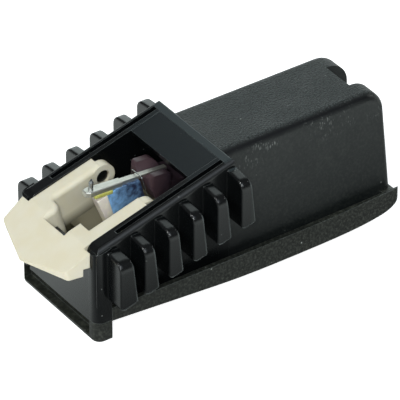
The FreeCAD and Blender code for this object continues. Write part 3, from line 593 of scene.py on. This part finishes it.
def rounded_copy(node, name, material, radius, body="housing"):
    """A merged copy of a CAD node with its sharp edges rounded, shown in its place."""
    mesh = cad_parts[node].data.copy()
    mesh.name = name
    shape = bmesh.new()
    shape.from_mesh(mesh)
    bmesh.ops.remove_doubles(shape, verts=shape.verts, dist=MERGE_UNDER)
    bmesh.ops.dissolve_limit(shape, angle_limit=FLAT_UNDER, verts=shape.verts, edges=shape.edges)
    sharp = [e for e in shape.edges if e.is_manifold and e.calc_face_angle() > SMOOTH_UNDER]
    if not sharp:
        raise RuntimeError(node + " has no sharp edge to round")
    bmesh.ops.bevel(shape, geom=sharp, offset=radius, offset_type="OFFSET", segments=3,
                    profile=0.5, affect="EDGES", clamp_overlap=True, material=-1)
    bmesh.ops.triangulate(shape, faces=shape.faces)
    shape.to_mesh(mesh)
    shape.free()
    shade(mesh, material)
    obj = bpy.data.objects.new(name, mesh)
    bpy.context.scene.collection.objects.link(obj)
    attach(obj, body)
    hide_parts(node)


class PICKUP_OT_shell(bpy.types.Operator):
    """Black body and base cover"""
    bl_idname = "pickup.shell"
    bl_label = "Shell"

    def execute(self, context):
        look = context.scene.pickup_shell
        dress("body_shell", moulded_body(look))
        dress("base_cover", moulded_cover(look))
        return {"FINISHED"}


class PICKUP_OT_holder(bpy.types.Operator):
    """Cream stylus holder"""
    bl_idname = "pickup.holder"
    bl_label = "Holder"

    def execute(self, context):
        dress("stylus_holder", moulded_cream(context.scene.pickup_holder))
        return {"FINISHED"}


class PICKUP_OT_stylus(bpy.types.Operator):
    """Bar, sleeve, shank, tip and wire"""
    bl_idname = "pickup.stylus"
    bl_label = "Stylus"

    def execute(self, context):
        look = context.scene.pickup_metal
        aluminium = drawn_metal("aluminium_drawn", look.bar, roughness=0.46, pitch=0.06 * MM)
        steel = drawn_metal("steel_ground", look.shank, roughness=0.25, pitch=0.03 * MM)
        wire = drawn_metal("steel_wire_drawn", look.wire, roughness=0.22, pitch=0.03 * MM)
        dress("stylus_bar", aluminium)
        dress("bar_sleeve", aluminium)
        dress("stylus_shank", steel)
        dress("stylus_tip", polished_stone("sapphire_polished", look.jewel))
        dress("retaining_wire", wire)
        return {"FINISHED"}


class PICKUP_OT_soft(bpy.types.Operator):
    """Soft blocks, pad and coupler"""
    bl_idname = "pickup.soft"
    bl_label = "Soft pieces"

    def execute(self, context):
        look = context.scene.pickup_soft
        white = soft_rubber(
            "white_silicone_cast", look.white, look.lilac, run=((0.0, 0.0, 1.0), 6.0, 14.0),
            mottle=0.45, size=0.8 * MM, seep=0.3, roughness=0.45)
        # The blue runs to painted shade towards the upper rear.
        blue = soft_rubber(
            "blue_silicone_cast", look.blue, look.blue_painted_shade, run=((0.8, 0.0, 0.6), -2.5, 1.5),
            mottle=0.28, size=0.6 * MM, seep=0.2, roughness=0.42)
        yellow = soft_rubber(
            "yellow_silicone_cut", look.yellow, look.olive, run=((0.0, 0.0, 1.0), 10.0, 15.0),
            mottle=0.4, size=0.4 * MM, seep=0.2, roughness=0.5)
        # Painted shade: the coupler darkens towards the rear, under the shelf.
        maroon = soft_rubber(
            "maroon_rubber_moulded", look.rose, look.maroon, run=((1.0, -0.45, 0.0), -6.1, -3.5),
            mottle=0.15, size=0.7 * MM, seep=0.15, roughness=0.34)
        grey = soft_rubber(
            "grey_rubber_moulded", look.grey, look.soot, run=((0.0, 0.0, 1.0), 8.0, 18.0),
            mottle=0.3, size=0.6 * MM, seep=0.1, roughness=0.6)
        rounded_copy("damper_front", "soft_front", white, look.edge)
        rounded_copy("damper_block", "soft_block", blue, look.edge)
        rounded_copy("bearing_pad", "soft_pad", yellow, 0.5 * look.edge, "pad")
        rounded_copy("coupler", "soft_coupler", maroon, look.edge)
        rounded_copy("element_mount", "soft_mount", grey, look.edge)
        return {"FINISHED"}


class PICKUP_OT_inner(bpy.types.Operator):
    """Elements, board, pins and leads"""
    bl_idname = "pickup.inner"
    bl_label = "Inner pieces"

    def execute(self, context):
        look = context.scene.pickup_metal
        ceramic = fired_ceramic("ceramic_fired", look.ceramic)
        plated = drawn_metal("brass_turned_plated", look.pin, roughness=0.24, pitch=0.05 * MM)
        copper = drawn_metal("copper_drawn", look.lead, roughness=0.30, pitch=0.03 * MM)
        dress("element_left", ceramic)
        dress("element_right", ceramic)
        dress("contact_board", pressed_laminate("paper_laminate_pressed", look.board))
        for place in range(1, 5):
            dress("contact_pin_%d" % place, plated)
            dress("lead_%d" % place, copper)
        return {"FINISHED"}


def studio_world(look):
    """Faint light from all round, white for the camera."""
    world = bpy.data.worlds.new("studio")
    world.use_nodes = True
    tree = world.node_tree
    tree.nodes.clear()
    camera_ray = add(tree, "LightPath").outputs["Is Camera Ray"]
    level = mix_values(tree, camera_ray, look.sky, 1.0)
    sky = add(tree, "Background", {"Color": opaque((1.0, 1.0, 1.0)), "Strength": level})
    add(tree, "OutputWorld", {"Surface": sky.outputs[0]})
    return world


def floor_paper(look):
    """Matt paper, lifted to white for the camera; glossy surfaces mirror it as a white sheet with a painted
    shadow of the head.
    """
    material, tree, shader, place = begin("floor_paper_matt", look.floor, {"Roughness": 0.8})
    rays = add(tree, "LightPath").outputs
    lift = reckon(tree, "ADD", product(tree, rays["Is Camera Ray"], look.lift),
                  product(tree, rays["Is Diffuse Ray"], look.glow))
    feed(tree, shader, {"Emission Strength": lift})
    gap = reckon(tree, "ABSOLUTE", reckon(tree, "SUBTRACT", split(tree, place)["Y"], SHADE_Y))
    bright = fade(tree, gap, *SHADE_REACH, *SHADE_LEVELS)
    sheet = add(tree, "Emission", {"Color": opaque(SHEET), "Strength": bright}).outputs[0]
    seen = add(tree, "MixShader", {0: rays["Is Glossy Ray"], 1: shader.outputs["BSDF"], 2: sheet})
    feed(tree, tree.nodes["Material Output"], {"Surface": seen.outputs[0]})
    return material


def lay_floor(look):
    """A pale floor, just under the part."""
    mesh = bpy.data.meshes.new("floor")
    shape = bmesh.new()
    bmesh.ops.create_grid(shape, x_segments=1, y_segments=1, size=FLOOR_HALF)
    shape.to_mesh(mesh)
    shape.free()
    mesh.materials.append(floor_paper(look))
    floor = bpy.data.objects.new("floor", mesh)
    floor.location.z = -FLOOR_DROP
    bpy.context.scene.collection.objects.link(floor)


def aim(obj, target):
    """Turns a light or camera, which look along their own -Z, to face the target."""
    obj.rotation_euler = (target - obj.location).to_track_quat("-Z", "Y").to_euler()


def area_light(name, offset, side, colour, power):
    """A square soft light that faces the head."""
    lamp = bpy.data.lights.new(name, "AREA")
    lamp.shape = "SQUARE"
    lamp.size = side
    lamp.energy = power
    lamp.color = colour
    obj = bpy.data.objects.new(name, lamp)
    obj.location = HEAD_MIDDLE + Vector(offset)
    bpy.context.scene.collection.objects.link(obj)
    aim(obj, HEAD_MIDDLE)


def photo_camera(look):
    """The camera at the photograph's angle, with a long lens."""
    a, e = look.azimuth, look.elevation
    back = Vector((math.sin(a) * math.cos(e), -math.cos(a) * math.cos(e), math.sin(e)))
    right = Vector((math.cos(a), math.sin(a), 0.0))
    centre = HEAD_MIDDLE - PICTURE_LEFT * right - PICTURE_DOWN * back.cross(right)
    camera = bpy.data.cameras.new("camera")
    camera.angle = 2 * math.atan(0.5 * look.width / look.distance)
    camera.clip_start = 0.01
    camera.clip_end = 10.0
    obj = bpy.data.objects.new("camera", camera)
    obj.location = centre + back * look.distance
    bpy.context.scene.collection.objects.link(obj)
    aim(obj, centre)
    return obj


class PICKUP_OT_stage(bpy.types.Operator):
    """Floor, light and camera"""
    bl_idname = "pickup.stage"
    bl_label = "Stage"

    def execute(self, context):
        scene = context.scene
        look = scene.pickup_stage
        scene.view_settings.view_transform = "Standard"
        scene.world = studio_world(look)
        lay_floor(look)
        for name, (offset, side, colour) in LIGHTS.items():
            area_light(name, offset, side, colour, getattr(look, name))
        scene.camera = photo_camera(look)
        return {"FINISHED"}


class PICKUP_PT_panel(bpy.types.Panel):
    """Lists the steps"""
    bl_idname = "PICKUP_PT_panel"
    bl_label = "Pickup Head"
    bl_space_type = "VIEW_3D"
    bl_region_type = "UI"
    bl_category = "Pickup"

    def draw(self, context):
        for step in STEPS:
            self.layout.operator(step.bl_idname)


GROUPS = {
    "pickup_shell": ShellLook,
    "pickup_holder": HolderLook,
    "pickup_soft": SoftLook,
    "pickup_metal": MetalLook,
    "pickup_stage": StageLook,
}
STEPS = (
    PICKUP_OT_shell,
    PICKUP_OT_holder,
    PICKUP_OT_stylus,
    PICKUP_OT_soft,
    PICKUP_OT_inner,
    PICKUP_OT_stage,
)


def register():
    for group in GROUPS.values():
        bpy.utils.register_class(group)
    for step in STEPS:
        bpy.utils.register_class(step)
    bpy.utils.register_class(PICKUP_PT_panel)
    for name, group in GROUPS.items():
        setattr(bpy.types.Scene, name, PointerProperty(type=group))


def unregister():
    for name in GROUPS:
        delattr(bpy.types.Scene, name)
    bpy.utils.unregister_class(PICKUP_PT_panel)
    for step in reversed(STEPS):
        bpy.utils.unregister_class(step)
    for group in reversed(GROUPS.values()):
        bpy.utils.unregister_class(group)


def main():
    register()
    bpy.ops.pickup.shell()
    bpy.ops.pickup.holder()
    bpy.ops.pickup.stylus()
    bpy.ops.pickup.soft()
    bpy.ops.pickup.inner()
    bpy.ops.pickup.stage()


if __name__ == "__main__":
    main()
